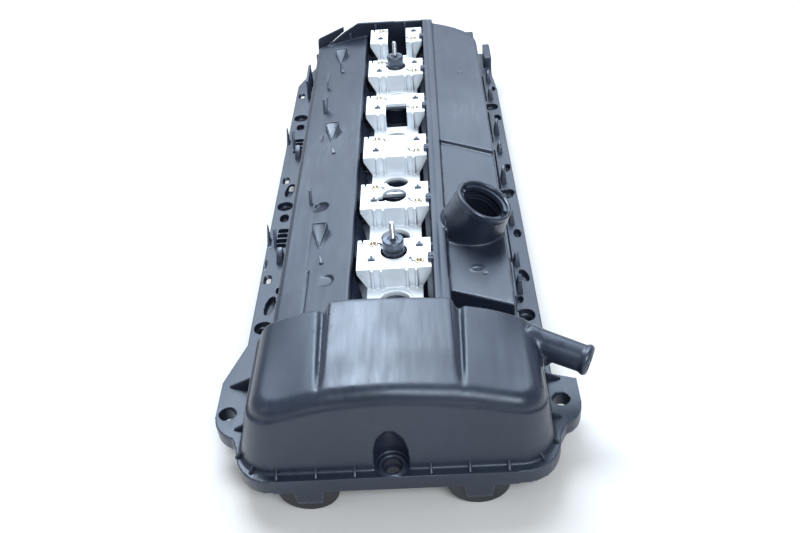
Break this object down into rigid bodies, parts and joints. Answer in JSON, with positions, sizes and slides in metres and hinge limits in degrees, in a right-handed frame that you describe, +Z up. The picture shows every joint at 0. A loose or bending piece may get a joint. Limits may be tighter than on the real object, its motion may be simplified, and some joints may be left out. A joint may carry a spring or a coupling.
{
  "type": "cylinder head cover",
  "caption": "Moulded cam cover for an in-line engine, with a tall front dome, filler neck, breather spigot, seals and a valley of aluminium coil plates.",
  "frame": {"origin": "bottom centre of the bounding box, at the lowest point of the seal's half-moon lobes", "axes": "+Z up away from the cylinder head, +Y from the front dome to the rear wall, +X to the side of the filler neck and breather spigot"},
  "size_m": [0.3034, 0.704, 0.1325],
  "materials": {
    "black_plastic": "moulded glass-filled nylon, fine texture with a soft sheen",
    "seal_rubber": "moulded seal rubber, matt",
    "cast_aluminium": "die-cast aluminium, bright and slightly satin",
    "brass": "turned brass, plain",
    "steel": "zinc-plated steel",
    "dark_steel": "dark phosphated steel"
  },
  "bodies": {
    "root": {"cover_shell": "black_plastic", "perimeter_gasket": "seal_rubber", "plug_well_gasket_front": "seal_rubber", "plug_well_gasket_rear": "seal_rubber", "breather_baffle": "black_plastic", "separator_baffle": "black_plastic", "coil_plate_1": "cast_aluminium", "insert_1_left": "brass", "insert_1_right": "brass", "coil_plate_2": "cast_aluminium", "insert_2_left": "brass", "insert_2_right": "brass", "coil_plate_3": "cast_aluminium", "insert_3_left": "brass", "insert_3_right": "brass", "coil_plate_4": "cast_aluminium", "insert_4_left": "brass", "insert_4_right": "brass", "coil_plate_5": "cast_aluminium", "insert_5_left": "brass", "insert_5_right": "brass", "coil_plate_6": "cast_aluminium", "insert_6_left": "brass", "insert_6_right": "brass", "trim_stud_front": "steel", "trim_spacer_front": "dark_steel", "trim_stud_rear": "steel", "trim_spacer_rear": "dark_steel"}
  },
  "joints": []
}
